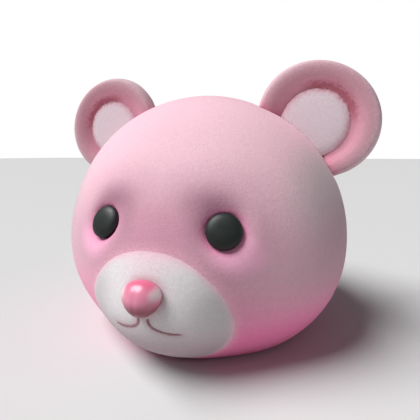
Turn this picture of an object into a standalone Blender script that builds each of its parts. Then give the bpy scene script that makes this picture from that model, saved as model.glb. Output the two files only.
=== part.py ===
"""A bear mask: a padded plush head that is worn over the wearer's own head.

It stands on its open neck rim at z = 0, faces -Y, and has the bear's left side at +X. Its pieces are
the head shell, the muzzle panel let into it, two ears with their inner pads, two button eyes, a
button nose and two mouth lines. All lengths are in metres.
"""
import math

import bmesh
import bpy
from mathutils import Matrix, Vector

# The head without its swells, each reach measured from its middle to its outside.
HALF_WIDTH = 0.185
FACE_REACH = 0.148
BACK_REACH = 0.176
CROWN_RISE = 0.182
JAW_DROP = 0.173
NECK_WIDTH = 0.262
WALL = 0.010

# How square or pointed the head is: 1 is an ellipse, less is squarer and more is more pointed.
SIDE_POWER_ABOVE = 1.04
SIDE_POWER_BELOW = 1.10
FACE_POWER_ABOVE = 1.05
FACE_POWER_BELOW = 0.90
RISE_POWER = 0.96
TURN_POWER = 0.95

# The muzzle's swell and the panel let into it. Directions are seen from the head's middle: a turn
# starts at the face and goes to the side, a rise starts at the level of the middle and goes up.
# A strip of the shell is left between the panel and the neck rim. The panel is cut out along a
# cone, which starts and ends at these shares of the head's reach.
MUZZLE_SWELL = 0.035
PANEL_HALF_TURN = math.radians(24.4)
PANEL_TOP_RISE = math.radians(4.5)
PANEL_MIDDLE_RISE = math.radians(-15.5)
PANEL_NECK_STRIP = math.radians(5.85)
PANEL_PEAR = 0.10
CONE_START = 0.4
CONE_END = 1.6
SEAM_GAP = 0.0003

# Swells and dents of the head. The height is a share of MUZZLE_SWELL, the turn and the rise of its
# middle and its spread each way are in degrees, and the lean is the share of the swell that also
# goes sideways. One off the middle line has a twin on the other side.
SWELLS = (
    # name          height   turn    rise  spread_turn  spread_rise  lean
    ("muzzle",       1.000,   0.0,  -14.4,        25.7,        18.9,  0.3),
    ("cheek",        0.211,  52.6,  -10.1,        25.0,        25.0,  1.0),
    ("chin",         0.100,   0.0,  -33.0,        24.0,        12.0,  0.3),
    ("eye_socket",  -0.190,  18.5,   12.5,         9.0,         7.5,  1.0),
    ("brow",         0.050,  17.0,   28.0,        13.0,         7.0,  1.0),
)

# Button eyes: a domed lens that stands a little proud of a seat let into the wall, and a shank.
EYE_TURN = math.radians(20.3)
EYE_RISE = math.radians(10.4)
EYE_RADIUS = 0.0178
EYE_DOME = 0.0065
EYE_LIFT = 0.0020
EYE_SEAT = 0.0030
DOME_SQUARENESS = 2.6

# The button nose sits on the muzzle and has the same shank as the eyes.
NOSE_RISE = math.radians(-6.0)
NOSE_HALF_WIDTH = 0.0192
NOSE_HALF_HEIGHT = 0.0172
NOSE_HALF_DEPTH = 0.0145
NOSE_LIFT = 0.0020
NOSE_TAPER = 0.20
SHANK_RADIUS = 0.004
SHANK_END = 0.003
FIT_GAP = 0.0003

# Ears: thick round discs that face forward, dished in front and cut to the head they are sewn to.
EAR_TURN = math.radians(88.0)
EAR_RISE = math.radians(45.6)
EAR_LIFT = 0.0205
EAR_ROLL = math.radians(35.0)
EAR_LENGTH = 0.146
EAR_HEIGHT = 0.130
EAR_THICKNESS = 0.026
DISH_DEPTH = 0.009

# The pale pad in the dish, which lies a little nearer to the head than the ear's own middle.
INNER_EAR_LENGTH = 0.080
INNER_EAR_HEIGHT = 0.079
INNER_EAR_THICKNESS = 0.005
INNER_EAR_SHIFT = 0.004

# The dish's side, from the pad's edge up to the rim: how far beyond the pad's edge as a share of the
# ear's radius, and how deep it still is as a share of the dish's depth.
DISH_SIDE = (
    # beyond  depth
    (0.02,    1.0),
    (0.10,    0.6),
    (0.19,    0.1),
)

# The ear's profile, turned about the line that it faces along: how far out as a share of its
# radius, and how far forward as a share of half its thickness. The dish comes on top of this.
EAR_PROFILE = (
    # out    forward
    (0.86,    1.00),
    (0.93,    0.93),
    (0.98,    0.60),
    (1.00,    0.10),
    (0.99,   -0.40),
    (0.94,   -0.78),
    (0.85,   -0.96),
    (0.60,   -1.00),
    (0.00,   -1.00),
)

# The pad's profile: how far out as a share of its radius, and how high as a share of its thickness.
PAD_PROFILE = (
    # out    height
    (0.00,   1.0),
    (0.70,   0.9),
    (0.92,   0.6),
    (1.00,   0.2),
    (1.00,   0.0),
    (0.00,   0.0),
)

# Mouth lines: cords laid on the muzzle along these directions, the same on both sides.
MOUTH_RADIUS = 0.0012
MOUTH_ROUTE = (
    # turn   rise, in degrees
    (1.3,   -11.2),
    (1.5,   -12.6),
    (2.4,   -13.7),
    (4.3,   -14.6),
    (7.1,   -15.4),
    (10.1,  -15.8),
)
MOUTH_STEPS = 4

# How finely the pieces are faceted.
HEAD_SEGMENTS = 52
HEAD_RINGS = 34
FACE_CROWDING = 0.35
PANEL_SEGMENTS = 48
EAR_SEGMENTS = 36
BUTTON_SEGMENTS = 28
DOME_STEPS = 5
NOSE_RINGS = 14
NORMAL_STEP = 0.02
MIRROR_X = Matrix.Scale(-1.0, 4, (1.0, 0.0, 0.0))


def powered(value, power):
    """The size of a value raised to a power, with the value's own sign."""
    return math.copysign(abs(value) ** power, value)


def neck_rise():
    """The rise, below the middle, at which the head is as wide as the neck."""
    return -math.acos((NECK_WIDTH / 2 / HALF_WIDTH) ** (1 / SIDE_POWER_BELOW))


def direction(turn, rise):
    """The direction seen from the head's middle at a turn and a rise."""
    level = math.cos(rise)
    return Vector((math.sin(turn) * level, -math.cos(turn) * level, math.sin(rise)))


def swell_height(turn, rise, swell):
    """How high one swell stands at a turn and a rise, and the lean of its push."""
    name, height, middle_turn, middle_rise, spread_turn, spread_rise, lean = swell
    up = (rise - math.radians(middle_rise)) / math.radians(spread_rise)
    total = 0.0
    for side in (1, -1) if middle_turn else (1,):
        away = math.remainder(turn - side * math.radians(middle_turn), math.tau)
        total += math.exp(-(away / math.radians(spread_turn)) ** 2 - up ** 2)
    return MUZZLE_SWELL * height * total, lean


def head_reach(turn, rise, growth=0.0):
    """From the head's middle to its outside at a turn and a rise, moved out by a growth."""
    level = max(math.cos(rise), 0.0)
    side_power = SIDE_POWER_ABOVE if rise > 0 else SIDE_POWER_BELOW
    face_power = FACE_POWER_ABOVE if rise > 0 else FACE_POWER_BELOW
    depth = FACE_REACH if math.cos(turn) > 0 else BACK_REACH
    height = CROWN_RISE if rise > 0 else JAW_DROP
    reach = Vector((
        HALF_WIDTH * level ** side_power * powered(math.sin(turn), TURN_POWER),
        -depth * level ** face_power * powered(math.cos(turn), TURN_POWER),
        height * powered(math.sin(rise), RISE_POWER),
    ))
    outward = direction(turn, rise)
    for swell in SWELLS:
        push, lean = swell_height(turn, rise, swell)
        reach += push * Vector((outward.x * lean, outward.y, outward.z))
    return reach + growth * outward


def head_middle():
    """The head's middle: the neck rim is at z = 0, and the nose and the back are as far from y = 0."""
    front = NOSE_LIFT + NOSE_HALF_DEPTH - head_reach(0.0, NOSE_RISE).y
    height = -JAW_DROP * powered(math.sin(neck_rise()), RISE_POWER)
    return Vector((0.0, (front - BACK_REACH) / 2, height))


MIDDLE = head_middle()


def head_point(turn, rise, growth=0.0):
    """A point of the head's outside at a turn and a rise, moved out by a growth."""
    return MIDDLE + head_reach(turn, rise, growth)


def head_normal(turn, rise):
    """The outward normal of the head's outside at a turn and a rise."""
    across = head_point(turn + NORMAL_STEP, rise) - head_point(turn - NORMAL_STEP, rise)
    upward = head_point(turn, rise + NORMAL_STEP) - head_point(turn, rise - NORMAL_STEP)
    return across.cross(upward).normalized()


def panel_direction(angle, gap):
    """The turn and rise of the muzzle panel's edge at an angle round it, widened by a gap."""
    up = math.sin(angle)
    bottom_rise = neck_rise() + PANEL_NECK_STRIP
    half_rise = PANEL_TOP_RISE - PANEL_MIDDLE_RISE if up > 0 else PANEL_MIDDLE_RISE - bottom_rise
    widening = gap / FACE_REACH
    turn = (PANEL_HALF_TURN * (1 - PANEL_PEAR * up) + widening) * math.cos(angle)
    rise = PANEL_MIDDLE_RISE + (half_rise + widening) * up
    return turn, rise


def plush_material(name, colour, roughness, coat=0.0):
    """A plain Principled material of the piece's colour and roughness."""
    material = bpy.data.materials.new(name)
    material.use_nodes = True
    shader = material.node_tree.nodes["Principled BSDF"]
    shader.inputs["Base Color"].default_value = (*colour, 1.0)
    shader.inputs["Roughness"].default_value = roughness
    shader.inputs["Metallic"].default_value = 0.0
    shader.inputs["Coat Weight"].default_value = coat
    material.diffuse_color = (*colour, 1.0)
    return material


def new_piece(name, mesh, collection, material=None):
    """An object made from a mesh whose points are already in place."""
    piece = bpy.data.objects.new(name, mesh)
    collection.objects.link(piece)
    mesh.shade_smooth()
    if material:
        mesh.materials.clear()
        mesh.materials.append(material)
    else:
        piece.hide_render = True
        piece.display_type = "WIRE"
    return piece


def mesh_from(shape, name):
    """A mesh made from a bmesh, which is then freed."""
    mesh = bpy.data.meshes.new(name)
    shape.to_mesh(mesh)
    shape.free()
    return mesh


def evaluated_mesh(piece, name):
    """The mesh that a piece's modifiers give, as a mesh of its own."""
    view = bpy.context.evaluated_depsgraph_get()
    mesh = bpy.data.meshes.new_from_object(piece.evaluated_get(view))
    mesh.name = name
    return mesh


def turned_mesh(name, profile, segments):
    """A mesh turned about its Z axis from rows of radius and height, given from top to bottom."""
    outline = bpy.data.meshes.new(name)
    points = [(radius, 0.0, height) for radius, height in profile]
    outline.from_pydata(points, [(row, row + 1) for row in range(len(points) - 1)], [])
    guide = bpy.data.objects.new(name, outline)
    bpy.context.scene.collection.objects.link(guide)
    screw = guide.modifiers.new("Turned", "SCREW")
    screw.steps = screw.render_steps = segments
    screw.use_merge_vertices = True
    screw.merge_threshold = 0.00001
    mesh = evaluated_mesh(guide, name)
    bpy.data.objects.remove(guide)
    return mesh


def to_side(mesh, placement, side):
    """Puts a mesh in place on the +X side, or mirrored on the other side."""
    mesh.transform(placement)
    if side < 0:
        mesh.transform(MIRROR_X)
        mesh.flip_normals()
    return mesh


def cut(piece, tool, operation="DIFFERENCE"):
    """Adds an exact Boolean of a tool to a piece."""
    boolean = piece.modifiers.new(tool.name, "BOOLEAN")
    boolean.operation = operation
    boolean.solver = "EXACT"
    boolean.object = tool


def facing(point, outward):
    """A placement at a point whose Z axis points outward."""
    return Matrix.Translation(point) @ outward.to_track_quat("Z", "Y").to_matrix().to_4x4()


def head_body(growth):
    """The head's whole outside as a bmesh, with finer faces towards the face."""
    shape = bmesh.new()
    bmesh.ops.create_uvsphere(shape, u_segments=HEAD_SEGMENTS, v_segments=HEAD_RINGS, radius=1.0)
    for vert in shape.verts:
        turn = math.atan2(vert.co.x, -vert.co.y)
        rise = math.asin(max(-1.0, min(1.0, vert.co.z)))
        vert.co = head_point(turn - FACE_CROWDING * math.sin(turn), rise, growth)
    return shape


def padded_wall(cutters):
    """The head's padded wall, open and flat at the neck, before its panel and holes are cut."""
    shape = head_body(0.0)
    ring = math.pi / HEAD_RINGS
    last_rise = max(neck_rise() - 3 * ring, -math.pi / 2 + ring)
    lowest = head_point(0.0, last_rise).z
    below = [face for face in shape.faces if all(vert.co.z < lowest for vert in face.verts)]
    bmesh.ops.delete(shape, geom=below, context="FACES")
    wall = new_piece("padded_wall", mesh_from(shape, "padded_wall"), cutters)
    solid = wall.modifiers.new("Padding", "SOLIDIFY")
    solid.thickness = WALL
    solid.offset = -1.0

    floor_shape = bmesh.new()
    bmesh.ops.create_cube(floor_shape, size=1.0)
    span = 2 * (HALF_WIDTH + FACE_REACH + BACK_REACH)
    bmesh.ops.scale(floor_shape, vec=(span, span, JAW_DROP), verts=floor_shape.verts)
    bmesh.ops.translate(floor_shape, vec=(0.0, 0.0, -JAW_DROP / 2), verts=floor_shape.verts)
    floor = new_piece("neck_cut", mesh_from(floor_shape, "neck_cut"), cutters)
    cut(wall, floor)
    return wall


def panel_cone(name, gap, cutters):
    """A cone from inside the head out through the muzzle panel's edge, widened by a gap."""
    shape = bmesh.new()
    bmesh.ops.create_cone(shape, cap_ends=True, cap_tris=True, segments=PANEL_SEGMENTS,
                          radius1=1.0, radius2=1.0, depth=2.0)
    for vert in shape.verts:
        distance = CONE_START if vert.co.z < 0 else CONE_END
        if vert.co.xy.length < 0.5:
            turn, rise = 0.0, PANEL_MIDDLE_RISE
        else:
            turn, rise = panel_direction(math.atan2(vert.co.y, vert.co.x), gap)
        vert.co = MIDDLE + distance * head_reach(turn, rise)
    bmesh.ops.recalc_face_normals(shape, faces=shape.faces)
    return new_piece(name, mesh_from(shape, name), cutters)


def button_profile(radius, dome, depth):
    """A button's profile: a domed lens, its side, its flat back and a shank through the wall."""
    rows = []
    for step in range(DOME_STEPS):
        angle = math.pi / 2 * step / DOME_STEPS
        out = math.sin(angle) ** (2 / DOME_SQUARENESS)
        up = math.cos(angle) ** (2 / DOME_SQUARENESS)
        rows.append((radius * out, dome * up))
    rows += [(radius, 0.0), (radius, -depth)]
    tip = -(EYE_LIFT + WALL + SHANK_END)
    return rows + [(SHANK_RADIUS, -depth), (SHANK_RADIUS, tip), (0.0, tip)]


def rod_profile(radius, top, bottom):
    """A plain rod's profile."""
    return [(0.0, top), (radius, top), (radius, bottom), (0.0, bottom)]


def add_eye(side, name, shell, pieces, cutters, material):
    """A button eye, and the seat and the hole for it in the shell."""
    outward = head_normal(EYE_TURN, EYE_RISE)
    placement = facing(head_point(EYE_TURN, EYE_RISE) + EYE_LIFT * outward, outward)
    depth = EYE_LIFT + EYE_SEAT
    mesh = turned_mesh(name, button_profile(EYE_RADIUS, EYE_DOME, depth), BUTTON_SEGMENTS)
    new_piece(name, to_side(mesh, placement, side), pieces, material)
    seat = rod_profile(EYE_RADIUS + FIT_GAP, EYE_RADIUS, -(depth + FIT_GAP))
    hole = rod_profile(SHANK_RADIUS + FIT_GAP, 0.0, -(EYE_LIFT + 2 * WALL + SHANK_END))
    for word, profile in (("_seat", seat), ("_hole", hole)):
        tool = to_side(turned_mesh(name + word, profile, BUTTON_SEGMENTS), placement, side)
        cut(shell, new_piece(name + word, tool, cutters))


def add_nose(muzzle, grown_head, pieces, cutters, material):
    """The nose, seated on the muzzle, with its shank and the shank's hole."""
    outward = head_normal(0.0, NOSE_RISE)
    seat = head_point(0.0, NOSE_RISE)
    shape = bmesh.new()
    bmesh.ops.create_uvsphere(shape, u_segments=BUTTON_SEGMENTS, v_segments=NOSE_RINGS, radius=1.0)
    for vert in shape.verts:
        across, up, out = vert.co
        vert.co.x = NOSE_HALF_WIDTH * across * (1 + NOSE_TAPER * up)
        vert.co.y = NOSE_HALF_HEIGHT * up
        vert.co.z = NOSE_HALF_DEPTH * out
    mesh = mesh_from(shape, "nose")
    mesh.transform(facing(seat + NOSE_LIFT * outward, outward))
    nose = new_piece("nose", mesh, pieces, material)
    cut(nose, grown_head)

    rod = rod_profile(SHANK_RADIUS, NOSE_HALF_DEPTH / 2, -(WALL + SHANK_END))
    shank = turned_mesh("nose_shank", rod, BUTTON_SEGMENTS)
    shank.transform(facing(seat, outward))
    cut(nose, new_piece("nose_shank", shank, cutters), "UNION")
    bore = rod_profile(SHANK_RADIUS + FIT_GAP, NOSE_HALF_DEPTH, -(2 * WALL + SHANK_END))
    hole = turned_mesh("nose_hole", bore, BUTTON_SEGMENTS)
    hole.transform(facing(seat, outward))
    cut(muzzle, new_piece("nose_hole", hole, cutters))


def ear_placement():
    """The +X ear's middle and bearing: Z faces forward, X runs along the ear's longer width."""
    outward = head_reach(EAR_TURN, EAR_RISE)
    outward.y = 0.0
    place = Matrix.Translation(head_point(EAR_TURN, EAR_RISE) + EAR_LIFT * outward.normalized())
    forward = Matrix.Rotation(math.pi / 2, 4, "X")
    return place @ Matrix.Rotation(EAR_ROLL, 4, "Y") @ forward


def lay_out_ear(mesh):
    """Gives an ear or a pad, turned with a radius of 1, its oval, with the dish nearer to the head."""
    inner = INNER_EAR_LENGTH / EAR_LENGTH
    for vert in mesh.vertices:
        rimward = min(max((vert.co.xy.length - inner) / (1 - inner), 0.0), 1.0)
        height = (1 - rimward) * INNER_EAR_HEIGHT / inner + rimward * EAR_HEIGHT
        vert.co.x *= EAR_LENGTH / 2
        vert.co.y = vert.co.y * height / 2 - (1 - rimward) * INNER_EAR_SHIFT


def add_ear(side, name, grown_head, pieces, plush, pale_plush):
    """An ear with its dish, and the pale pad that lies in the dish."""
    half = EAR_THICKNESS / 2
    inner = INNER_EAR_LENGTH / EAR_LENGTH
    dish = [(0.0, half - DISH_DEPTH)]
    dish += [(inner + beyond, half - DISH_DEPTH * depth) for beyond, depth in DISH_SIDE]
    rim = [(out, half * forward) for out, forward in EAR_PROFILE]
    mesh = turned_mesh(name, dish + rim, EAR_SEGMENTS)
    lay_out_ear(mesh)
    ear = new_piece(name, to_side(mesh, ear_placement(), side), pieces, plush)
    cut(ear, grown_head)

    floor = half - DISH_DEPTH + FIT_GAP
    profile = [(inner * out, floor + INNER_EAR_THICKNESS * height) for out, height in PAD_PROFILE]
    pad = turned_mesh("inner_" + name, profile, EAR_SEGMENTS)
    lay_out_ear(pad)
    inner_ear = new_piece("inner_" + name, to_side(pad, ear_placement(), side), pieces, pale_plush)
    cut(inner_ear, grown_head)


def mouth_points():
    """The +X mouth line's middle points, lifted off the muzzle so that the cord lies on it."""
    route = []
    for start, end in zip(MOUTH_ROUTE, MOUTH_ROUTE[1:]):
        for step in range(MOUTH_STEPS):
            share = step / MOUTH_STEPS
            route.append([a + (b - a) * share for a, b in zip(start, end)])
    route.append(MOUTH_ROUTE[-1])
    points = []
    for row in route:
        turn, rise = (math.radians(angle) for angle in row)
        lift = MOUTH_RADIUS + 2 * FIT_GAP
        points.append(head_point(turn, rise) + lift * head_normal(turn, rise))
    return points


def add_mouth_line(side, name, pieces, material):
    """One mouth line, a cord along the muzzle."""
    curve = bpy.data.curves.new(name, "CURVE")
    curve.dimensions = "3D"
    curve.bevel_depth = MOUTH_RADIUS
    curve.bevel_resolution = 1
    curve.use_fill_caps = True
    points = mouth_points()
    spline = curve.splines.new("POLY")
    spline.points.add(len(points) - 1)
    for knot, point in zip(spline.points, points):
        knot.co = (side * point.x, point.y, point.z, 1.0)
    curve.materials.append(material)
    pieces.objects.link(bpy.data.objects.new(name, curve))


def build():
    """Builds the whole mask."""
    for old in list(bpy.data.objects):
        bpy.data.objects.remove(old)
    pieces = bpy.data.collections.new("bear_mask")
    cutters = bpy.data.collections.new("cutters")
    bpy.context.scene.collection.children.link(pieces)
    bpy.context.scene.collection.children.link(cutters)

    pink = plush_material("pink_plush", (0.80, 0.42, 0.52), 0.85)
    pale = plush_material("pale_plush", (0.88, 0.82, 0.84), 0.85)
    black = plush_material("black_button", (0.03, 0.035, 0.035), 0.35, 0.5)
    rose = plush_material("rose_button", (0.78, 0.22, 0.34), 0.30, 0.5)
    thread = plush_material("mouth_thread", (0.36, 0.18, 0.21), 0.60)

    wall = padded_wall(cutters)
    grown_head = new_piece("grown_head", mesh_from(head_body(FIT_GAP), "grown_head"), cutters)
    shell = new_piece("head_shell", evaluated_mesh(wall, "head_shell"), pieces, pink)
    muzzle = new_piece("muzzle", evaluated_mesh(wall, "muzzle"), pieces, pale)
    cut(shell, panel_cone("panel_window", SEAM_GAP, cutters))
    cut(muzzle, panel_cone("panel_edge", 0.0, cutters), "INTERSECT")
    add_nose(muzzle, grown_head, pieces, cutters, rose)
    for side, word in ((1, "left"), (-1, "right")):
        add_eye(side, "eye_" + word, shell, pieces, cutters, black)
        add_ear(side, "ear_" + word, grown_head, pieces, pink, pale)
        add_mouth_line(side, "mouth_line_" + word, pieces, thread)


build()
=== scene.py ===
# %% [markdown]
# This scene dresses a bear mask: a full head of short-pile pink plush over a padded wall, worn over
# the wearer's own head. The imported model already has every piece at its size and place, so it is
# loaded first and stays as it is. Each piece is then modelled over its plain solid: the plush is
# relaxed and sewn, the buttons are rounded, and the mouth is embroidered.

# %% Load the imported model
import math

import bpy
from mathutils import Matrix, Vector
from mathutils.bvhtree import BVHTree


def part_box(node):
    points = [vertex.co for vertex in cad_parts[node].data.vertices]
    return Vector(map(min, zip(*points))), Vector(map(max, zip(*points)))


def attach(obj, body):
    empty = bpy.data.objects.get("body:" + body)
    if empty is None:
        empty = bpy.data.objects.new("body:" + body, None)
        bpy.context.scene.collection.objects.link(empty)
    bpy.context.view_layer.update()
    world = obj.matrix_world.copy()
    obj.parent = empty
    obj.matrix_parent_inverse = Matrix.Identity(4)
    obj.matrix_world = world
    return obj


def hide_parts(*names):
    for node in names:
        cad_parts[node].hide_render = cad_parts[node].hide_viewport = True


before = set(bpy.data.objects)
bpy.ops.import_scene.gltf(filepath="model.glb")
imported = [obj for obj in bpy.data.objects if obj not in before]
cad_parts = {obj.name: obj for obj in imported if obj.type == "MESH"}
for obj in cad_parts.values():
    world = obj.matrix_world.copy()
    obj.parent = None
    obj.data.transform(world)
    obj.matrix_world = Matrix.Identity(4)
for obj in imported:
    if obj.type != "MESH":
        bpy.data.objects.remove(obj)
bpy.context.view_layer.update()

bpy.ops.object.select_all(action="DESELECT")

# %% [markdown]
# Operators act on whatever is selected, so every step first selects its own piece and nothing else.
# A modifier is added, set and applied in one go, the way it is done by hand in the modifier tab.

# %% Select one piece and apply a modifier to it
def select_alone(piece):
    """Makes one piece the only selected and the active one."""
    bpy.ops.object.select_all(action="DESELECT")
    piece.select_set(True)
    bpy.context.view_layer.objects.active = piece


def apply_modifier(piece, kind, **settings):
    """Adds a modifier with these settings and applies it."""
    select_alone(piece)
    bpy.ops.object.modifier_add(type=kind)
    modifier = piece.modifiers[-1]
    for setting, value in settings.items():
        setattr(modifier, setting, value)
    bpy.ops.object.modifier_apply(modifier=modifier.name)

# %% [markdown]
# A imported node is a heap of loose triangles. A copy of it becomes a proper surface once its doubled
# points are merged and its triangles are paired up into four-sided faces, which a Subdivision
# Surface rounds far more evenly than triangles. Real edges, such as the neck rim, are creased first.

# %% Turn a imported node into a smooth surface
MERGE_DISTANCE = 0.00002
SHARP_ANGLE = math.radians(35)
PAIR_ANGLE = math.radians(30)


def merged_copy(node, name):
    """A piece with a node's shape, its loose triangles merged into one surface."""
    piece = bpy.data.objects.new(name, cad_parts[node].data.copy())
    bpy.context.scene.collection.objects.link(piece)
    piece.data.materials.clear()
    select_alone(piece)
    bpy.ops.object.mode_set(mode="EDIT")
    bpy.ops.mesh.select_all(action="SELECT")
    bpy.ops.mesh.remove_doubles(threshold=MERGE_DISTANCE)
    bpy.ops.object.mode_set(mode="OBJECT")
    return piece


def rounded_copy(node, name, levels):
    """A piece with a node's shape, rounded between its sharp edges."""
    piece = merged_copy(node, name)
    bpy.ops.object.mode_set(mode="EDIT")
    bpy.ops.mesh.tris_convert_to_quads(face_threshold=PAIR_ANGLE, shape_threshold=PAIR_ANGLE)
    bpy.ops.mesh.select_all(action="DESELECT")
    bpy.ops.mesh.select_mode(type="EDGE")
    bpy.ops.mesh.edges_select_sharp(sharpness=SHARP_ANGLE)
    bpy.ops.transform.edge_crease(value=1.0)
    bpy.ops.mesh.select_mode(type="VERT")
    bpy.ops.object.mode_set(mode="OBJECT")
    apply_modifier(piece, "SUBSURF", levels=levels, render_levels=levels)
    return piece

# %% [markdown]
# Plush over foam has no hard edge anywhere: fabric is pulled round the padding and sinks at each
# seam. A voxel remesh lays one even net over the rounded solids and a few smoothing passes relax
# it, so edges turn soft while the large form stays. A cloth simulation would swell the same wall,
# but this padding is firm foam, and its shape is known.

# %% Relax solids into padded plush
SKIN_LEVELS = 2
SMOOTHING = 0.5


def relax(piece, passes, **settings):
    """Smooths a piece in a number of passes."""
    apply_modifier(piece, "SMOOTH", factor=SMOOTHING, iterations=passes, **settings)


def plush_skin(nodes, name, voxel, passes):
    """A padded piece over some nodes, as one even net with soft edges."""
    copies = [rounded_copy(node, name, SKIN_LEVELS) for node in nodes]
    select_alone(copies[0])
    for copy in copies:
        copy.select_set(True)
    bpy.ops.object.join()
    piece = copies[0]
    apply_modifier(piece, "REMESH", mode="VOXEL", voxel_size=voxel, use_smooth_shade=True)
    relax(piece, passes)
    return piece

# %% [markdown]
# Where two pieces are sewn together, the thread draws both down into a shallow valley. It could be
# sculpted by hand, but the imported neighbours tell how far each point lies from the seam: the closer
# it lies, the deeper it is drawn in. It sinks towards the middle of the head, so that both sides of
# a seam stay together.

# %% Measure and draw down a seam
HEAD_MIDDLE = Vector((0.0, 0.0075, 0.1199))
FAR_OFF = 1.0
FADED_OUT = 5


def skin_of(nodes):
    """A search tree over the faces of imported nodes."""
    points, faces = [], []
    for node in nodes:
        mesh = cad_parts[node].data
        first = len(points)
        points += [point.co.copy() for point in mesh.vertices]
        faces += [[first + index for index in face.vertices] for face in mesh.polygons]
    return BVHTree.FromPolygons(points, faces)


def distances_to(piece, nodes, reach):
    """How far each of a piece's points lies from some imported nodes, up to a reach."""
    skin = skin_of(nodes)
    found = [skin.find_nearest(point.co, reach) for point in piece.data.vertices]
    return [FAR_OFF if nearest[0] is None else nearest[3] for nearest in found]


def draw_in(piece, distances, depth, width):
    """Sinks a piece by a depth where it meets a seam, fading out over a few widths."""
    for point, distance in zip(piece.data.vertices, distances):
        if distance < FADED_OUT * width:
            sink = depth * math.exp(-distance / width)
            point.co -= sink * (point.co - HEAD_MIDDLE).normalized()

# %% [markdown]
# The head and its muzzle panel are one padded wall, cut from two plushes. The wall is therefore
# relaxed as a whole and drawn in along the seam, and only later cut apart, so that the two pieces
# meet without a gap.

# %% Model the padded wall of the head
HEAD_VOXEL = 0.0032
HEAD_PASSES = 6
SEAM_DEPTH = 0.0009
SEAM_WIDTH = 0.0040
EAR_SEAM_DEPTH = 0.0012
EAR_SEAM_WIDTH = 0.0040
SEAM_REACH = 0.02

head = plush_skin(["head_shell", "muzzle"], "pink_head", HEAD_VOXEL, HEAD_PASSES)
from_shell = distances_to(head, ["head_shell"], SEAM_REACH)
from_panel = distances_to(head, ["muzzle"], SEAM_REACH)
from_ears = distances_to(head, ["ear_left", "ear_right"], SEAM_REACH)
draw_in(head, [max(pair) for pair in zip(from_shell, from_panel)], SEAM_DEPTH, SEAM_WIDTH)
draw_in(head, from_ears, EAR_SEAM_DEPTH, EAR_SEAM_WIDTH)
print("padded wall has", len(head.data.polygons), "faces")

# %% [markdown]
# A button eye is tied through the padding, which swells up softly round it. The swelling is nothing
# at the button's edge, highest a little way off, and gone further out. All places are read before
# the first point moves, because Blender would otherwise work out the normals again for each point.

# %% Swell the padding round the eyes
SIDES = {"left": 1, "right": -1}
SWELL_HEIGHT = 0.0020
SWELL_WIDTH = 0.012


def swelling(share):
    """How far the padding swells: highest at a share of 1, and nothing at 0."""
    return SWELL_HEIGHT * share * math.exp(0.5 - 0.5 * share ** 2)


places = [(point.co.copy(), point.normal.copy()) for point in head.data.vertices]
for word in SIDES:
    lowest, highest = (Vector(corner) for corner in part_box("eye_" + word))
    eye_middle = (lowest + highest) / 2
    eye_radius = (highest.z - lowest.z) / 2
    for point, (place, normal) in zip(head.data.vertices, places):
        outward = place - HEAD_MIDDLE
        share = ((place - eye_middle).length - eye_radius) / SWELL_WIDTH
        if share > 0 and normal.dot(outward) > 0:
            point.co += swelling(share) * outward.normalized()
    print("padding swells round the", word, "eye, of radius", round(eye_radius, 4))

# %% [markdown]
# A remeshed rim is a little wavy, where a sewn hem runs even. The lowest points are smoothed in
# plan only, so that the neck still stands flat on the floor.

# %% Even out the neck's hem
HEM_HEIGHT = 0.010
HEM_PASSES = 30

hem = head.vertex_groups.new(name="hem")
low_points = [point.index for point in head.data.vertices if point.co.z < HEM_HEIGHT]
hem.add(low_points, 1.0, "REPLACE")
relax(head, HEM_PASSES, use_z=False, vertex_group="hem")
head.vertex_groups.clear()
print("hem has", len(low_points), "points")

# %% [markdown]
# Now the wall is cut into its two plushes. The cutter is a hull round a stretched copy of the packed
# panel: its sides run out from the head's middle, so stretching it that way leaves them where they
# are. What lies inside the cutter becomes the muzzle, and what lies outside stays the head.

# %% Cut the muzzle panel out of the wall
STRETCH = 0.25

cutter = merged_copy("muzzle", "panel_cutter")
for point in cutter.data.vertices:
    outward = point.co - HEAD_MIDDLE
    point.co += STRETCH * math.copysign(1, point.normal.dot(outward)) * outward
select_alone(cutter)
bpy.ops.object.mode_set(mode="EDIT")
bpy.ops.mesh.select_all(action="SELECT")
bpy.ops.mesh.convex_hull()
bpy.ops.mesh.normals_make_consistent(inside=False)
bpy.ops.object.mode_set(mode="OBJECT")
muzzle = bpy.data.objects.new("white_muzzle", head.data.copy())
bpy.context.scene.collection.objects.link(muzzle)
apply_modifier(muzzle, "BOOLEAN", operation="INTERSECT", object=cutter, solver="EXACT")
apply_modifier(head, "BOOLEAN", operation="DIFFERENCE", object=cutter, solver="EXACT")
bpy.data.objects.remove(cutter)
print("head and muzzle have", len(head.data.polygons), len(muzzle.data.polygons), "faces")

# %% [markdown]
# The muzzle's net is made finer, because the mouth is sewn into it: the stitches pull a narrow
# groove into the padding.

# %% Groove the muzzle for the mouth
GROOVE_DEPTH = 0.0013
GROOVE_WIDTH = 0.0022
MOUTH_NODES = ["mouth_line_" + word for word in SIDES]

apply_modifier(muzzle, "SUBSURF", levels=1, render_levels=1, subdivision_type="SIMPLE")
draw_in(muzzle, distances_to(muzzle, MOUTH_NODES, SEAM_REACH), GROOVE_DEPTH, GROOVE_WIDTH)
print("muzzle has", len(muzzle.data.polygons), "faces")

# %% [markdown]
# Each ear is stuffed, with a rolled rim round a dished front. Its front and back panels meet in a
# seam that runs round the edge, which is drawn in here by how far a point lies from the seam's
# plane. At its base the ear is sewn down on the head, so its edge there is pulled onto the head.

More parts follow.
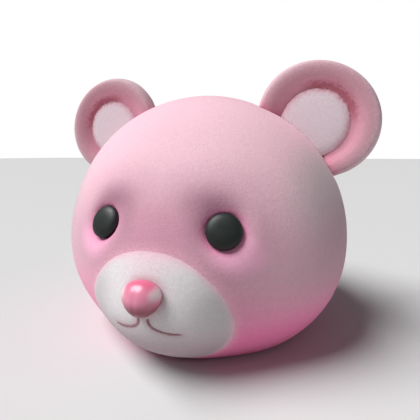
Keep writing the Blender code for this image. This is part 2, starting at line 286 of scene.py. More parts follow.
# %% Sew an ear's rim and its base
EAR_MIDDLE = Vector((0.1418, 0.0037, 0.2665))
EAR_ROLL = math.radians(35)
EAR_HALF_LENGTH = 0.073
EAR_HALF_HEIGHT = 0.065
EAR_LONG_WAY = Vector((math.cos(EAR_ROLL), 0.0, -math.sin(EAR_ROLL)))
EAR_SHORT_WAY = Vector((math.sin(EAR_ROLL), 0.0, math.cos(EAR_ROLL)))
RIM_STARTS = 0.8
RIM_SEAM_BACK = 0.004
RIM_SEAM_DEPTH = 0.0016
RIM_SEAM_WIDTH = 0.0018
BASE_REACH = 0.005


def sew_rim(ear, side):
    """Draws in the seam round an ear's edge."""
    for point in ear.data.vertices:
        away = Vector((side * point.co.x, point.co.y, point.co.z)) - EAR_MIDDLE
        along = away.dot(EAR_LONG_WAY) / EAR_HALF_LENGTH
        across = away.dot(EAR_SHORT_WAY) / EAR_HALF_HEIGHT
        if math.hypot(along, across) > RIM_STARTS:
            off_seam = (away.y - RIM_SEAM_BACK) / RIM_SEAM_WIDTH
            flat = Vector((side * away.x, 0.0, away.z)).normalized()
            point.co -= RIM_SEAM_DEPTH * math.exp(-abs(off_seam)) * flat


def sew_down(piece, depth):
    """Pulls a piece's edge onto the head, down to the bottom of the seam's valley."""
    skin = skin_of(["head_shell"])
    for point in piece.data.vertices:
        nearest, normal, _, distance = skin.find_nearest(point.co, BASE_REACH)
        if nearest is not None:
            share = (1 - distance / BASE_REACH) ** 0.5
            point.co += share * (nearest - depth * normal - point.co)

# %% [markdown]
# The ear and the pale pad in its dish are relaxed like the head, with a finer net, because their
# curves are tighter.

# %% Model the ears and the pads in them
EAR_VOXEL = 0.0015
PAD_VOXEL = 0.0012
EAR_PASSES = 6

ears, inner_ears = [], []
for word, side in SIDES.items():
    ear = plush_skin(["ear_" + word], "ear_plush_" + word, EAR_VOXEL, EAR_PASSES)
    sew_rim(ear, side)
    sew_down(ear, EAR_SEAM_DEPTH)
    ears.append(ear)
    pad = plush_skin(["inner_ear_" + word], "ear_pad_" + word, PAD_VOXEL, EAR_PASSES)
    sew_down(pad, EAR_SEAM_DEPTH)
    inner_ears.append(pad)
    print(ear.name, "has", len(ear.data.polygons), "faces")
    print(pad.name, "has", len(pad.data.polygons), "faces")

# %% [markdown]
# The eyes and the nose are moulded plastic buttons. They could be turned anew from a profile, but
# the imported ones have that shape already, shank and all, so they are only rounded between their
# sharp edges. The nose also gets the shallow crease down its middle.

# %% Model the buttons
EYE_LEVELS = 2
NOSE_LEVELS = 3
NOSE_CREASE_DEPTH = 0.0004
NOSE_CREASE_WIDTH = 0.0026
NOSE_FRONT = -0.170

eyes = [rounded_copy("eye_" + word, "button_eye_" + word, EYE_LEVELS) for word in SIDES]
nose = rounded_copy("nose", "button_nose", NOSE_LEVELS)
for point in nose.data.vertices:
    if point.co.y < NOSE_FRONT:
        point.co.y += NOSE_CREASE_DEPTH * math.exp(-(point.co.x / NOSE_CREASE_WIDTH) ** 2)
for button in eyes + [nose]:
    select_alone(button)
    bpy.ops.object.shade_smooth_by_angle(angle=SHARP_ANGLE)
    print(button.name, "has", len(button.data.polygons), "faces")

# %% [markdown]
# The mouth is embroidered in satin stitch: short threads laid side by side across the line. A
# striped tube would look alike from afar, but single threads catch the light one by one. They need
# the line's middle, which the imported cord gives: its points lie in rings, and the rings' middles
# are found one after another from the top.

# %% Find the middle of a packed mouth line
MOUTH_RINGS = 21


def line_middle(node):
    """The middle points of a packed cord, from the nose outwards, found ring by ring."""
    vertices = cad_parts[node].data.vertices
    places = {tuple(round(value, 6) for value in vertex.co) for vertex in vertices}
    left = [Vector(place) for place in sorted(places)]
    here = max(left, key=lambda place: place.z)
    ring_size = len(left) // MOUTH_RINGS
    middle = []
    while len(left) >= ring_size:
        left.sort(key=lambda place: (place - here).length)
        here = sum(left[:ring_size], Vector((0.0, 0.0, 0.0))) / ring_size
        middle.append(here)
        left = left[ring_size:]
    return middle


def point_along(route, distance):
    """The point on a route at a distance from its start, and the way that it runs there."""
    for start, end in zip(route, route[1:]):
        step = end - start
        if distance <= step.length:
            break
        distance -= step.length
    return start + step.normalized() * distance, step.normalized()

# %% [markdown]
# A stitch lies on the muzzle, across the line and a little slanted, and the last ones get shorter.
# One stitch is modelled from a sphere and copied to each place, so every thread is a real shape.

# %% Place the stitches
STITCH_PITCH = 0.00050
STITCH_HALF_WIDTH = 0.00170
STITCH_HALF_THICKNESS = 0.00038
STITCH_HALF_BREADTH = 0.62 * STITCH_PITCH
STITCH_RISE = 0.00020
STITCH_LEAN = math.radians(12)
TAPER_LENGTH = 0.008
LAST_SHARE = 0.45


def stitch_places(node, side):
    """The place of each stitch along a mouth line, and the matrix that shapes it there."""
    route = line_middle(node)
    length = sum((end - start).length for start, end in zip(route, route[1:]))
    surface = BVHTree.FromObject(muzzle, bpy.context.evaluated_depsgraph_get())
    lean = Matrix.Rotation(side * STITCH_LEAN, 3, "Z")
    stitches = []
    for row in range(int(length / STITCH_PITCH)):
        distance = row * STITCH_PITCH
        here, along = point_along(route, distance)
        nearest, normal = surface.find_nearest(here)[:2]
        across = normal.cross(along).normalized()
        half_width = STITCH_HALF_WIDTH * min(1.0, LAST_SHARE + (length - distance) / TAPER_LENGTH)
        size = Matrix.Diagonal((half_width, STITCH_HALF_BREADTH, STITCH_HALF_THICKNESS))
        turn = Matrix((across, normal.cross(across), normal)).transposed()
        stitches.append((nearest + STITCH_RISE * normal, turn @ lean @ size))
    return stitches


# %% Embroider the mouth
def embroider(name, stitches):
    """One piece made of a copy of a rounded thread for each stitch."""
    bpy.ops.object.select_all(action="DESELECT")
    bpy.ops.mesh.primitive_uv_sphere_add(segments=8, ring_count=5, radius=1.0)
    stitch = bpy.context.object
    points, faces = [], []
    for place, shape in stitches:
        first = len(points)
        points += [place + shape @ point.co for point in stitch.data.vertices]
        faces += [[first + index for index in face.vertices] for face in stitch.data.polygons]
    bpy.data.objects.remove(stitch)
    mesh = bpy.data.meshes.new(name)
    mesh.from_pydata(points, [], faces)
    mesh.shade_smooth()
    piece = bpy.data.objects.new(name, mesh)
    bpy.context.scene.collection.objects.link(piece)
    print(name, "has", len(stitches), "stitches")
    return piece


mouth = []
for word, side in SIDES.items():
    mouth.append(embroider("mouth_stitches_" + word, stitch_places("mouth_line_" + word, side)))

# %% [markdown]
# A material is a small graph of nodes. A picture of plush could be wrapped round the head instead,
# but a pattern that is worked out from each point's place needs no unwrapping and shows no edge.
# These helpers add one node at a time: an input is linked, when it is given as another node's
# output, or else set to a value.

# %% Build materials node by node
def add_node(finish, kind, inputs=None, **settings):
    """Adds a node to a material, sets it, and links or fills its inputs."""
    tree = finish.node_tree
    node = tree.nodes.new("ShaderNode" + kind)
    for setting, value in settings.items():
        setattr(node, setting, value)
    for socket, value in (inputs or {}).items():
        if isinstance(value, bpy.types.NodeSocket):
            tree.links.new(value, node.inputs[socket])
        else:
            node.inputs[socket].default_value = value
    return node


def new_finish(name, constants):
    """A new material, its shader with these constants, and its Object coordinates."""
    finish = bpy.data.materials.new(name)
    finish.use_nodes = True
    shader = finish.node_tree.nodes["Principled BSDF"]
    for socket, value in constants.items():
        shader.inputs[socket].default_value = value
    place = add_node(finish, "TexCoord").outputs["Object"]
    return finish, shader, place


def feed(finish, shader, socket, value):
    """Links a node's output to one of the shader's sockets."""
    finish.node_tree.links.new(value, shader.inputs[socket])


def dress(pieces, finish):
    """Gives a finished material to some pieces."""
    for piece in pieces:
        piece.data.materials.append(finish)
    print(finish.name, "has", len(finish.node_tree.nodes), "nodes")

# %% [markdown]
# Most of a graph is small sums: a value is stretched from one range to another, two colours are
# mixed by an amount, or a place is measured from a spot's middle.

# %% Work out values, places and colours
def maths(finish, operation, first, second=0.0):
    """The result of a Math node."""
    return add_node(finish, "Math", {0: first, 1: second}, operation=operation).outputs[0]


def place_maths(finish, operation, first, second=(0.0, 0.0, 0.0)):
    """The result of a Vector Math node: a number for a length or a dot product, else a place."""
    node = add_node(finish, "VectorMath", {0: first, 1: second}, operation=operation)
    return node.outputs["Value" if operation in ("LENGTH", "DOT_PRODUCT") else "Vector"]


def axes(finish, place):
    """The X, Y and Z of a place."""
    return add_node(finish, "SeparateXYZ", {0: place}).outputs


def folded(finish, place):
    """A place folded over the middle plane, so that both halves of the face get the same paint."""
    split = axes(finish, place)
    inputs = {"X": maths(finish, "ABSOLUTE", split["X"]), "Y": split["Y"], "Z": split["Z"]}
    return add_node(finish, "CombineXYZ", inputs).outputs[0]


def ramp(finish, value, start, end, low=0.0, high=1.0, shape="SMOOTHSTEP"):
    """A value that goes from low to high between a start and an end."""
    inputs = {"Value": value, "From Min": start, "From Max": end, "To Min": low, "To Max": high}
    return add_node(finish, "MapRange", inputs, interpolation_type=shape).outputs[0]


def spot(finish, place, middle, spread, core=0.0):
    """How much a place lies in an egg-shaped spot: 1 in its core and 0 outside its spread."""
    away = place_maths(finish, "SUBTRACT", place, middle)
    distance = place_maths(finish, "LENGTH", place_maths(finish, "DIVIDE", away, spread))
    return ramp(finish, distance, core, 1.0, 1.0, 0.0)


def tint(finish, under, colour, amount):
    """A colour laid over another by an amount."""
    mix = add_node(finish, "Mix", {0: amount}, data_type="RGBA")
    inputs = [socket for socket in mix.inputs if socket.type == "RGBA"]
    for socket, value in zip(inputs, (under, colour)):
        if isinstance(value, bpy.types.NodeSocket):
            finish.node_tree.links.new(value, socket)
        else:
            socket.default_value = (*value, 1.0)
    return [socket for socket in mix.outputs if socket.type == "RGBA"][0]

# %% [markdown]
# Fine noise makes every surface real: fibres, grain or strands. Nearly all of a noise's values lie
# between 0.3 and 0.7, so that range is spread out to what is wanted.

# %% Use noise for grain
NOISE_LOW = 0.3
NOISE_HIGH = 0.7


def noise(finish, place, scale, detail):
    """The value of a noise texture."""
    inputs = {"Vector": place, "Scale": scale, "Detail": detail}
    return add_node(finish, "TexNoise", inputs).outputs[0]


def spread_noise(finish, value, low, high):
    """A noise's value, spread out so that it runs from low to high."""
    return ramp(finish, value, NOISE_LOW, NOISE_HIGH, low, high)


def add_bump(finish, shader, height, strength, distance):
    """Gives a material small bumps, as high as a value says."""
    inputs = {"Strength": strength, "Distance": distance, "Height": height}
    feed(finish, shader, "Normal", add_node(finish, "Bump", inputs).outputs["Normal"])

# %% [markdown]
# Marks on the mesh itself tell a material what only the shape knows: which part of the wall is
# lining, and how near a seam or a button lies. Each mark is a number on every point.

# %% Mark the lining and the places near other pieces
MARK_REACH = 3
LINING_SHARPNESS = 5
MARKS = (
    # piece, mark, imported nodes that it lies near, width
    (head, "near_muzzle", ["muzzle"], 0.006),
    (head, "near_ears", ["ear_left", "ear_right"], 0.006),
    (head, "near_eyes", ["eye_left", "eye_right"], 0.0055),
    (muzzle, "near_shell", ["head_shell"], 0.0045),
    (muzzle, "near_mouth", MOUTH_NODES, 0.0035),
    (muzzle, "near_nose", ["nose"], 0.005),
    (nose, "near_muzzle", ["muzzle"], 0.0018),
    (ears[0], "near_head", ["head_shell"], 0.008),
    (ears[1], "near_head", ["head_shell"], 0.008),
)


def keep_mark(piece, name, values):
    """Keeps a number for each of a piece's points under a name."""
    attribute = piece.data.attributes.new(name, "FLOAT", "POINT")
    attribute.data.foreach_set("value", values)


def mark_value(finish, name):
    """The value of a mark, in a material."""
    return add_node(finish, "Attribute", attribute_name=name).outputs["Fac"]


for piece, name, nodes, width in MARKS:
    distances = distances_to(piece, nodes, MARK_REACH * width)
    keep_mark(piece, name, [math.exp(-(distance / width) ** 2) for distance in distances])
for piece in (head, muzzle):
    points = piece.data.vertices
    facing = [point.normal.dot((point.co - HEAD_MIDDLE).normalized()) for point in points]
    inside = [min(max(0.5 - LINING_SHARPNESS * value, 0.0), 1.0) for value in facing]
    keep_mark(piece, "lining", inside)
    print(piece.name, "has", sum(value > 0.5 for value in inside), "points of lining")

# %% [markdown]
# Short-pile plush is a forest of fine fibres. Light catches their tips at grazing angles, which the
# sheen does, and each fibre throws a tiny shadow, which fine noise does in colour, bump and
# roughness. Real hair would look alike from this far and cost far more. The colour is airbrushed in
# soft spots, the same on both sides of the face, so the place is folded over the middle plane, and
# a little noise makes the spots' edges fuzzy.

# %% Start a plush
PLUSH_SHADER = {"IOR": 1.45, "Specular IOR Level": 0.15, "Sheen Weight": 0.18, "Sheen Roughness": 0.45}
PINK_SHEEN = (1.0, 0.85, 0.90, 1.0)
PALE_SHEEN = (1.0, 0.96, 0.97, 1.0)
PILE_SCALE = 800.0
TUFT_SCALE = 240.0
FUZZ = 0.0022


def plush_finish(name, colour, sheen):
    """A plush material in one colour, with what its airbrushed spots need."""
    finish, shader, place = new_finish(name, {**PLUSH_SHADER, "Sheen Tint": sheen})
    pile = add_node(finish, "TexNoise", {"Vector": place, "Scale": PILE_SCALE, "Detail": 2.0})
    shift = place_maths(finish, "SUBTRACT", pile.outputs["Color"], (0.5, 0.5, 0.5))
    shift = place_maths(finish, "MULTIPLY", shift, (2 * FUZZ, 2 * FUZZ, 2 * FUZZ))
    return {
        "finish": finish,
        "shader": shader,
        "colour": colour,
        "place": place,
        "fuzzy": place_maths(finish, "ADD", folded(finish, place), shift),
        "pile": pile.outputs[0],
        "tufts": noise(finish, place, TUFT_SCALE, detail=3.0),
    }

# %% [markdown]
# An airbrush is used like on the real mask: one soft spot after another, a wash that sets in below a
# height, and a fine line along each seam and button, where the marks tell how near they are. Several
# of these spots, washes and lines are painted shade or painted highlights, not the plush's own colour.

# %% Airbrush a plush
EDGE_FUZZ = 0.25


def lay(plush, colour, amount, strength):
    """Lays a colour over what a plush has so far, by an amount times a strength."""
    finish = plush["finish"]
    amount = maths(finish, "MULTIPLY", amount, strength)
    plush["colour"] = tint(finish, plush["colour"], colour, amount)


def airbrush(plush, spots):
    """Airbrushes the spots of a table, the same on both sides."""
    for _, colour, strength, middle, spread, core in spots:
        lay(plush, colour, spot(plush["finish"], plush["fuzzy"], middle, spread, core), strength)
    print("airbrushed:", ", ".join(row[0] for row in spots))


def airbrush_below(plush, colour, strength, none, full):
    """Airbrushes a colour that sets in below one height and is full at another."""
    height = axes(plush["finish"], plush["fuzzy"])["Z"]
    lay(plush, colour, ramp(plush["finish"], height, full, none, 1.0, 0.0), strength)


def airbrush_marks(plush, marks):
    """Airbrushes what the marks of a table name, with fuzzy edges."""
    finish = plush["finish"]
    for name, colour, strength in marks:
        rough = spread_noise(finish, plush["pile"], 1 - EDGE_FUZZ, 1 + EDGE_FUZZ)
        lay(plush, colour, maths(finish, "MULTIPLY", mark_value(finish, name), rough), strength)

# %% [markdown]
# Last come the fibres: they darken and lighten the colour a little, and they stand up as bumps. The
# lining has no pile. It is a fine knit, whose ribs run across all three ways, because a rib that
# ran only one way would vanish where the wall turns.

# %% Add the pile or the knit
PILE_SHADE = 0.05
TUFT_SHADE = 0.02
ROUGH_BETWEEN = 0.95
ROUGH_TIPS = 0.82
TUFT_HEIGHT = 0.8
PILE_BUMP = 0.45
PILE_DEPTH = 0.0007
KNIT_SCALE = 180.0


def knit(plush):
    """The height of a fine knit: the mean of the ribs across all three ways."""
    height = 0.0
    for way in "XYZ":
        inputs = {"Vector": plush["place"], "Scale": KNIT_SCALE}
        ribs = add_node(plush["finish"], "TexWave", inputs, bands_direction=way)
        height = maths(plush["finish"], "ADD", ribs.outputs["Fac"], height)
    return maths(plush["finish"], "MULTIPLY", height, 1 / 3)


def finish_plush(plush, pieces, lined=False):
    """Adds the pile, and the knit of a lining, and gives the material to some pieces."""
    finish, shader, pile, tufts = (plush[word] for word in ("finish", "shader", "pile", "tufts"))
    pile_shade = spread_noise(finish, pile, -PILE_SHADE, PILE_SHADE)
    tuft_shade = spread_noise(finish, tufts, 1 - TUFT_SHADE, 1 + TUFT_SHADE)
    shade = maths(finish, "ADD", pile_shade, tuft_shade)
    shaded = add_node(finish, "HueSaturation", {"Value": shade, "Color": plush["colour"]})
    feed(finish, shader, "Base Color", shaded.outputs["Color"])
    feed(finish, shader, "Roughness", spread_noise(finish, pile, ROUGH_BETWEEN, ROUGH_TIPS))
    height = maths(finish, "ADD", pile, maths(finish, "MULTIPLY", tufts, TUFT_HEIGHT))
    if lined:
        lining = mark_value(finish, "lining")
        height = maths(finish, "MULTIPLY", height, maths(finish, "SUBTRACT", 1.0, lining))
        height = maths(finish, "ADD", height, maths(finish, "MULTIPLY", knit(plush), lining))
    add_bump(finish, shader, height, PILE_BUMP, PILE_DEPTH)
    dress(pieces, finish)

# %% [markdown]
# The pink plush is palest on the forehead, deeper round the eyes and on the cheeks, greyer on the
# sides and deepest under the jaw. The grey of the sides and the dark of the brows and of the sockets
# beside the eyes are painted shade. The deeper pink of the face and under the jaw is partly the
# plush's own pink and partly painted shade, and painted light brightens the pink just under the eyes.
# The lining inside is a plain pale knit.

# %% Finish the head
HEAD_PINK = (0.92, 0.585, 0.68)
# Under the jaw: a deeper pink, with painted shade, laid below a height
JAW_PINK_AND_SHADE = (0.90, 0.19, 0.42)
LINING = (0.80, 0.62, 0.66)
EAR_SEAM_PINK = (0.74, 0.28, 0.39)
HEAD_SPOTS = (
    # name, colour, strength, middle, spread, core
    # face: partly a deeper pink, partly painted shade on the front of the face, which is turned from
    # the light
    ("face", (0.58, 0.285, 0.38), 0.85, (0.045, -0.14, 0.135), (0.130, 0.10, 0.110), 0.15),
    ("bridge", (0.62, 0.27, 0.38), 0.55, (0.000, -0.15, 0.150), (0.045, 0.06, 0.045), 0.10),
    # temples and sides: painted shade, a greyer and darker pink on the sides turned from the light
    ("temples", (0.59, 0.51, 0.53), 0.90, (0.170, -0.04, 0.185), (0.085, 0.13, 0.085), 0.25),
    ("sides", (0.62, 0.38, 0.46), 0.75, (0.170, -0.03, 0.118), (0.135, 0.18, 0.085), 0.20),
    # under the eyes: painted light, a brighter pink where the eye buttons cast their shadow
    ("under the eyes", (1.00, 0.50, 0.69), 0.90, (0.080, -0.13, 0.135), (0.038, 0.04, 0.027), 0.20),
    # brows and beside the eyes: painted shade in the eye sockets, under the brows
    ("brows", (0.36, 0.17, 0.24), 0.72, (0.052, -0.13, 0.181), (0.042, 0.04, 0.027), 0.00),
    ("beside the eyes", (0.50, 0.25, 0.33), 0.65, (0.038, -0.14, 0.162), (0.022, 0.04, 0.032), 0.00),
)
HEAD_MARKS = (
    # mark, colour, strength
    ("near_muzzle", (0.84, 0.45, 0.55), 0.6),
    ("near_ears", EAR_SEAM_PINK, 0.6),
    ("near_eyes", (0.84, 0.24, 0.45), 0.7),
    ("lining", LINING, 1.0),
)

pink = plush_finish("pink_pile", HEAD_PINK, PINK_SHEEN)
airbrush(pink, HEAD_SPOTS)
# deeper pink and painted shade under the jaw
airbrush_below(pink, JAW_PINK_AND_SHADE, strength=0.95, none=0.120, full=0.034)
airbrush_marks(pink, HEAD_MARKS)
finish_plush(pink, [head], lined=True)

# %% [markdown]
# The white plush has a breath of pink along its top, towards the eyes. It greys out at its sides and
# below, which is painted shade. A rosy line follows the seam round it, the mouth and the nose; along
# the mouth it is a darker mauve, partly painted shade in the mouth's groove.

# %% Finish the muzzle
MUZZLE_WHITE = (0.79, 0.75, 0.77)
# Painted shade that greys the white plush below the mouth
CHIN_PAINTED_SHADE = (0.42, 0.30, 0.34)
MUZZLE_SPOTS = (
    # name, colour, strength, middle, spread, core
    ("muzzle top", (0.92, 0.66, 0.75), 0.80, (0.000, -0.16, 0.140), (0.070, 0.05, 0.030), 0.10),
    # muzzle sides: painted shade on the sides of the white plush
    ("muzzle sides", (0.50, 0.47, 0.48), 0.65, (0.072, -0.15, 0.088), (0.045, 0.05, 0.055), 0.10),
)
MUZZLE_MARKS = (
    # mark, colour, strength
    ("near_shell", (0.86, 0.52, 0.62), 0.75),
    # near_mouth: partly a mauve tint, partly painted shade in the mouth's groove
    ("near_mouth", (0.52, 0.30, 0.34), 0.50),
    ("near_nose", (0.62, 0.34, 0.40), 0.50),
    ("lining", LINING, 1.0),
)

white = plush_finish("white_pile", MUZZLE_WHITE, PALE_SHEEN)
airbrush(white, MUZZLE_SPOTS)
# painted shade under the chin
airbrush_below(white, CHIN_PAINTED_SHADE, strength=0.85, none=0.085, full=0.035)
airbrush_marks(white, MUZZLE_MARKS)
finish_plush(white, [muzzle], lined=True)

# %% [markdown]
# In the ears the pale pad fades into the pink rim, with a jagged, fuzzy edge. Away from the head the
# dish is airbrushed a dark rose, painted shade where the rim overhangs it. Both materials measure how
# far a place is from the pad's middle, as a share of the pad's radius, and whether it lies away from
# the head.

# %% Measure from the middle of the ear's pad
PAD_MIDDLE = (0.1395, 0.004, 0.2632)
PAD_RADIUS = 0.040
JAGS_SCALE = 260.0
JAGS = 0.07
EAR_FRONT = 0.007
EAR_BACK = 0.012
BEYOND = 5.0


def pad_shares(plush):
    """How far out a place in the ear lies, and how much it lies away from the head.

    The first is jagged, and it is set far out on the ear's back, which is plain.
    """
    finish, place = plush["finish"], plush["place"]
    away = place_maths(finish, "SUBTRACT", plush["fuzzy"], PAD_MIDDLE)
    flat = place_maths(finish, "MULTIPLY", away, (1.0, 0.0, 1.0))
    share = maths(finish, "DIVIDE", place_maths(finish, "LENGTH", flat), PAD_RADIUS)
    jags = noise(finish, place, JAGS_SCALE, detail=1.0)
    jagged = maths(finish, "ADD", share, spread_noise(finish, jags, -JAGS / 2, JAGS / 2))
    back = ramp(finish, axes(finish, place)["Y"], EAR_FRONT, EAR_BACK, 0.0, BEYOND)
    way = place_maths(finish, "NORMALIZE", flat)
    outer = place_maths(finish, "DOT_PRODUCT", way, EAR_SHORT_WAY)
    return maths(finish, "ADD", jagged, back), outer


def airbrush_rings(plush, rings):
    """Airbrushes the rings of a table round the ear's pad.

    A ring fades in and out at shares of the pad's radius. Where its row says so, it also fades in
    from one side of the ear to the other.
    """
    finish = plush["finish"]
    share, outer = pad_shares(plush)
    for colour, strength, fades_in, fades_out, across in rings:
        amount = ramp(finish, share, *fades_out, 1.0, 0.0)
        amount = maths(finish, "MULTIPLY", ramp(finish, share, *fades_in), amount)
        if across is not None:
            amount = maths(finish, "MULTIPLY", amount, ramp(finish, outer, *across))
        lay(plush, colour, amount, strength)

# %% [markdown]
# The rim is a greyed pink that pales outwards into a painted highlight along its edge. The dish is
# pink round the pad, a dark rose of painted shade on the side away from the head, and pale on the side
# by the head.

# %% Finish the ears
EAR_GREYED_PINK = (0.65, 0.35, 0.42)
EAR_ROSE_SHADE = (0.47, 0.12, 0.16)
EAR_PINK = (0.74, 0.33, 0.43)
EAR_RIM_HIGHLIGHT = (0.77, 0.59, 0.64)
PAD_PALE = (0.86, 0.72, 0.78)
TO_THE_BACK = (4.0, 5.0)
ALL_THE_WAY = (9.0, 10.0)
AWAY_FROM_HEAD = (0.40, 0.88)
EAR_RINGS = (
    # colour, strength, fades in, fades out, across the ear
    # pale rim: a painted highlight along the ear's outer edge
    (EAR_RIM_HIGHLIGHT, 0.70, (1.45, 1.80), TO_THE_BACK, None),
    (EAR_PINK, 0.80, (0.70, 0.90), (1.05, 1.55), None),
    # dark rose: painted shade in the dish, where the rim overhangs it
    (EAR_ROSE_SHADE, 0.85, (0.88, 1.02), (1.06, 1.24), AWAY_FROM_HEAD),
    (PAD_PALE, 0.90, (0.70, 0.90), (1.10, 1.50), (-0.50, -0.85)),
)
PAD_RINGS = (
    # colour, strength, fades in, fades out, across the ear
    (EAR_PINK, 0.80, (0.72, 1.05), ALL_THE_WAY, (-0.75, 0.10)),
    # dark rose: painted shade along the pad's edge away from the head
    (EAR_ROSE_SHADE, 0.85, (0.88, 1.02), ALL_THE_WAY, AWAY_FROM_HEAD),
)

ear_plush = plush_finish("ear_pile", EAR_GREYED_PINK, PINK_SHEEN)
airbrush_rings(ear_plush, EAR_RINGS)
airbrush_marks(ear_plush, [("near_head", EAR_SEAM_PINK, 0.6)])
finish_plush(ear_plush, ears)

pad_plush = plush_finish("ear_pad_pile", PAD_PALE, PALE_SHEEN)
airbrush_rings(pad_plush, PAD_RINGS)
finish_plush(pad_plush, inner_ears)

# %% [markdown]
# The buttons are injection moulded. A mould leaves a surface that is nearly even, so faint smears in
# the roughness and a very fine grain in the bump are enough to break the highlights up, as satin
# plastic does.

# %% Mould plastic
MOULD_SCALE = 1400.0
MOULD_BUMP = 0.12
MOULD_DEPTH = 0.0002
SMEAR_SCALE = 90.0


def moulded(finish, shader, place, smooth, rough):
    """Gives a material the satin grain and the faint smears of moulded plastic."""
    smears = noise(finish, place, SMEAR_SCALE, detail=4.0)
    feed(finish, shader, "Roughness", spread_noise(finish, smears, smooth, rough))
    grain = noise(finish, place, MOULD_SCALE, detail=2.0)
    add_bump(finish, shader, grain, MOULD_BUMP, MOULD_DEPTH)


def height_share(finish, place, node):
    """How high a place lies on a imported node: -1 at its lowest and 1 at its highest."""
    lowest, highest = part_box(node)
    height = axes(finish, place)["Z"]
    return ramp(finish, height, lowest[2], highest[2], -1.0, 1.0, shape="LINEAR")

# %% [markdown]
# The nose is sprayed a deeper pink over its top. Painted shade darkens it below and round its edge,
# where it meets the muzzle, and painted highlights make its two sides nearly white.

# %% Finish the nose
NOSE_PINK = (0.80, 0.27, 0.40)
NOSE_TOP_PINK = (0.78, 0.09, 0.22)
NOSE_SIDE_HIGHLIGHT = (1.0, 0.94, 0.95)
NOSE_UNDER_SHADE = (0.22, 0.01, 0.04)
NOSE_EDGE_SHADE = (0.34, 0.05, 0.10)
# Where the painted highlights lie on the nose's two sides
HIGHLIGHT_OUT, HIGHLIGHT_UP = 0.95, 0.75
HIGHLIGHT_WIDTH, HIGHLIGHT_DEPTH, HIGHLIGHT_HEIGHT = 0.50, 0.05, 0.28

rose, shader, place = new_finish("rose_plastic", {"Coat Weight": 0.25, "Coat Roughness": 0.2})
moulded(rose, shader, place, smooth=0.30, rough=0.40)
nose_low, nose_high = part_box("nose")
highlight_level = (1 - HIGHLIGHT_UP) * nose_low[2] + HIGHLIGHT_UP * nose_high[2]
highlight_middle = (HIGHLIGHT_OUT * nose_high[0], nose_low[1], highlight_level)
highlight_spread = (HIGHLIGHT_WIDTH * nose_high[0], HIGHLIGHT_DEPTH, HIGHLIGHT_HEIGHT * (nose_high[2] - nose_low[2]))
highlight_share = spot(rose, folded(rose, place), highlight_middle, highlight_spread)
edge_shade_share = mark_value(rose, "near_muzzle")
height = height_share(rose, place, "nose")
colour = tint(rose, NOSE_PINK, NOSE_TOP_PINK, ramp(rose, height, 0.45, 1.0, low=0.0, high=0.7))
# painted highlights on the nose's two sides
colour = tint(rose, colour, NOSE_SIDE_HIGHLIGHT, maths(rose, "MULTIPLY", highlight_share, 0.9))
# painted shade on the nose's lower part
colour = tint(rose, colour, NOSE_UNDER_SHADE, ramp(rose, height, -0.50, 0.30, low=0.95, high=0.0))
# painted shade round the nose's edge, where it meets the muzzle
colour = tint(rose, colour, NOSE_EDGE_SHADE, maths(rose, "MULTIPLY", edge_shade_share, 0.7))
feed(rose, shader, "Base Color", colour)
dress([nose], rose)

# %% [markdown]
# The eyes are a greenish black, with painted shade that deepens it towards the bottom.

# %% Finish the eyes
EYE_BLACK = (0.019, 0.024, 0.023)
EYE_LOWER_SHADE = (0.006, 0.007, 0.006)

black, shader, place = new_finish("black_plastic", {"Specular IOR Level": 0.35})
moulded(black, shader, place, smooth=0.42, rough=0.52)
height = height_share(black, place, "eye_left")
# painted shade on the eye's lower part
shade_share = ramp(black, height, -1.0, 0.3, low=1.0, high=0.0)
feed(black, shader, "Base Color", tint(black, EYE_BLACK, EYE_LOWER_SHADE, shade_share))
dress(eyes, black)

# %% [markdown]
# The mouth's thread is a mercerised cotton: each stitch has a little sheen, and its colour wanders
# where the strands lie tighter.

# %% Finish the thread
THREAD_DARK = (0.40, 0.20, 0.235)
THREAD_PALE = (0.50, 0.28, 0.32)
THREAD_SCALE = 500.0
STRAND_SCALE = 2600.0
STRAND_BUMP = 0.4
STRAND_DEPTH = 0.0002

thread, shader, place = new_finish("satin_thread", {"Sheen Weight": 0.2, "Sheen Roughness": 0.4})
wander = noise(thread, place, THREAD_SCALE, detail=2.0)
strands = noise(thread, place, STRAND_SCALE, detail=1.0)
pale_share = spread_noise(thread, wander, 0.0, 1.0)
feed(thread, shader, "Base Color", tint(thread, THREAD_DARK, THREAD_PALE, pale_share))
feed(thread, shader, "Roughness", spread_noise(thread, strands, 0.50, 0.72))
add_bump(thread, shader, strands, STRAND_BUMP, STRAND_DEPTH)
dress(mouth, thread)

# %% [markdown]
# Each new piece now rides on the mask's one body and stands for its imported node, which is hidden.

# %% Tie the pieces to the imported model
for pieces, nodes, slot in (
    ([head], ["head_shell"], "pink_plush"),
    ([muzzle], ["muzzle"], "white_plush"),
    (ears, ["ear_" + word for word in SIDES], "pink_plush"),
    (inner_ears, ["inner_ear_" + word for word in SIDES], "white_plush"),
    (eyes, ["eye_" + word for word in SIDES], "black_button"),
    ([nose], ["nose"], "rose_button"),
    (mouth, MOUTH_NODES, "mouth_thread"),
):
    for piece, node in zip(pieces, nodes):
        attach(piece, "root")
        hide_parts(node)
        print(piece.name, "stands for", node)

# %% [markdown]
# The camera looks from the bear's left and a little from above. It stands close, with a wide view,
# which is why the near ear looks so large.

# %% Camera
CAMERA_TURN = math.radians(18.5)
CAMERA_RISE = math.radians(10.4)
CAMERA_VIEW = math.radians(70.0)
CAMERA_DISTANCE = 0.4454
CAMERA_TARGET = Vector((0.0, 0.0258, 0.1453))

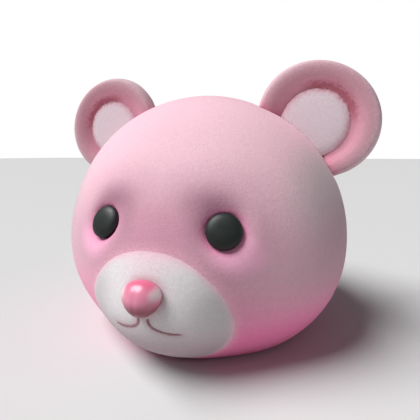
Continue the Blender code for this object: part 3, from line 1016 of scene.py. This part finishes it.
camera_data = bpy.data.cameras.new("camera")
camera_data.angle = CAMERA_VIEW
camera = bpy.data.objects.new("camera", camera_data)
bpy.context.scene.collection.objects.link(camera)
level = math.cos(CAMERA_RISE)
away = Vector((math.sin(CAMERA_TURN) * level, -math.cos(CAMERA_TURN) * level, math.sin(CAMERA_RISE)))
camera.location = CAMERA_TARGET + CAMERA_DISTANCE * away
camera.rotation_euler = away.to_track_quat("Z", "Y").to_euler()
bpy.context.scene.camera = camera
print("camera stands at", [round(value, 3) for value in camera.location])

# %% [markdown]
# The mask stands on a large sheet of pale, dull paper, which is part of the stage and not of the
# model.

# %% Floor
FLOOR_SIZE = 40.0
FLOOR_GREY = (0.66, 0.66, 0.66, 1.0)

bpy.ops.object.select_all(action="DESELECT")
bpy.ops.mesh.primitive_plane_add(size=FLOOR_SIZE)
floor = bpy.context.object
floor.name = "floor"
dress([floor], new_finish("floor_paper", {"Base Color": FLOOR_GREY, "Roughness": 0.9})[0])

# %% [markdown]
# Soft studio light comes from a wide sun above and to one side, whose spread softens the shadows,
# with a weak fill from the other side. The camera sees a white sky, but the mask gets only a little
# of its light, or it would wash out the shading.

# %% Lights and sky
LIGHTS = (
    # name, where it comes from, strength, spread in degrees
    ("key", (-0.49, -0.26, 0.83), 3.8, 34),
    ("fill", (0.90, 0.20, 0.25), 0.15, 10),
)
SKY_LIGHT = 0.09

for name, comes_from, strength, spread in LIGHTS:
    light = bpy.data.objects.new(name, bpy.data.lights.new(name, "SUN"))
    light.data.energy = strength
    light.data.angle = math.radians(spread)
    light.rotation_euler = Vector(comes_from).to_track_quat("Z", "Y").to_euler()
    bpy.context.scene.collection.objects.link(light)
    print(name, "light has strength", strength)

world = bpy.data.worlds.new("studio")
bpy.context.scene.world = world
world.use_nodes = True
background = world.node_tree.nodes["Background"]
background.inputs["Color"].default_value = (1.0, 1.0, 1.0, 1.0)
seen = world.node_tree.nodes.new("ShaderNodeLightPath")
sky_strength = world.node_tree.nodes.new("ShaderNodeMapRange")
sky_strength.inputs["To Min"].default_value = SKY_LIGHT
world.node_tree.links.new(seen.outputs["Is Camera Ray"], sky_strength.inputs["Value"])
world.node_tree.links.new(sky_strength.outputs[0], background.inputs["Strength"])
bpy.context.scene.view_settings.view_transform = "Standard"
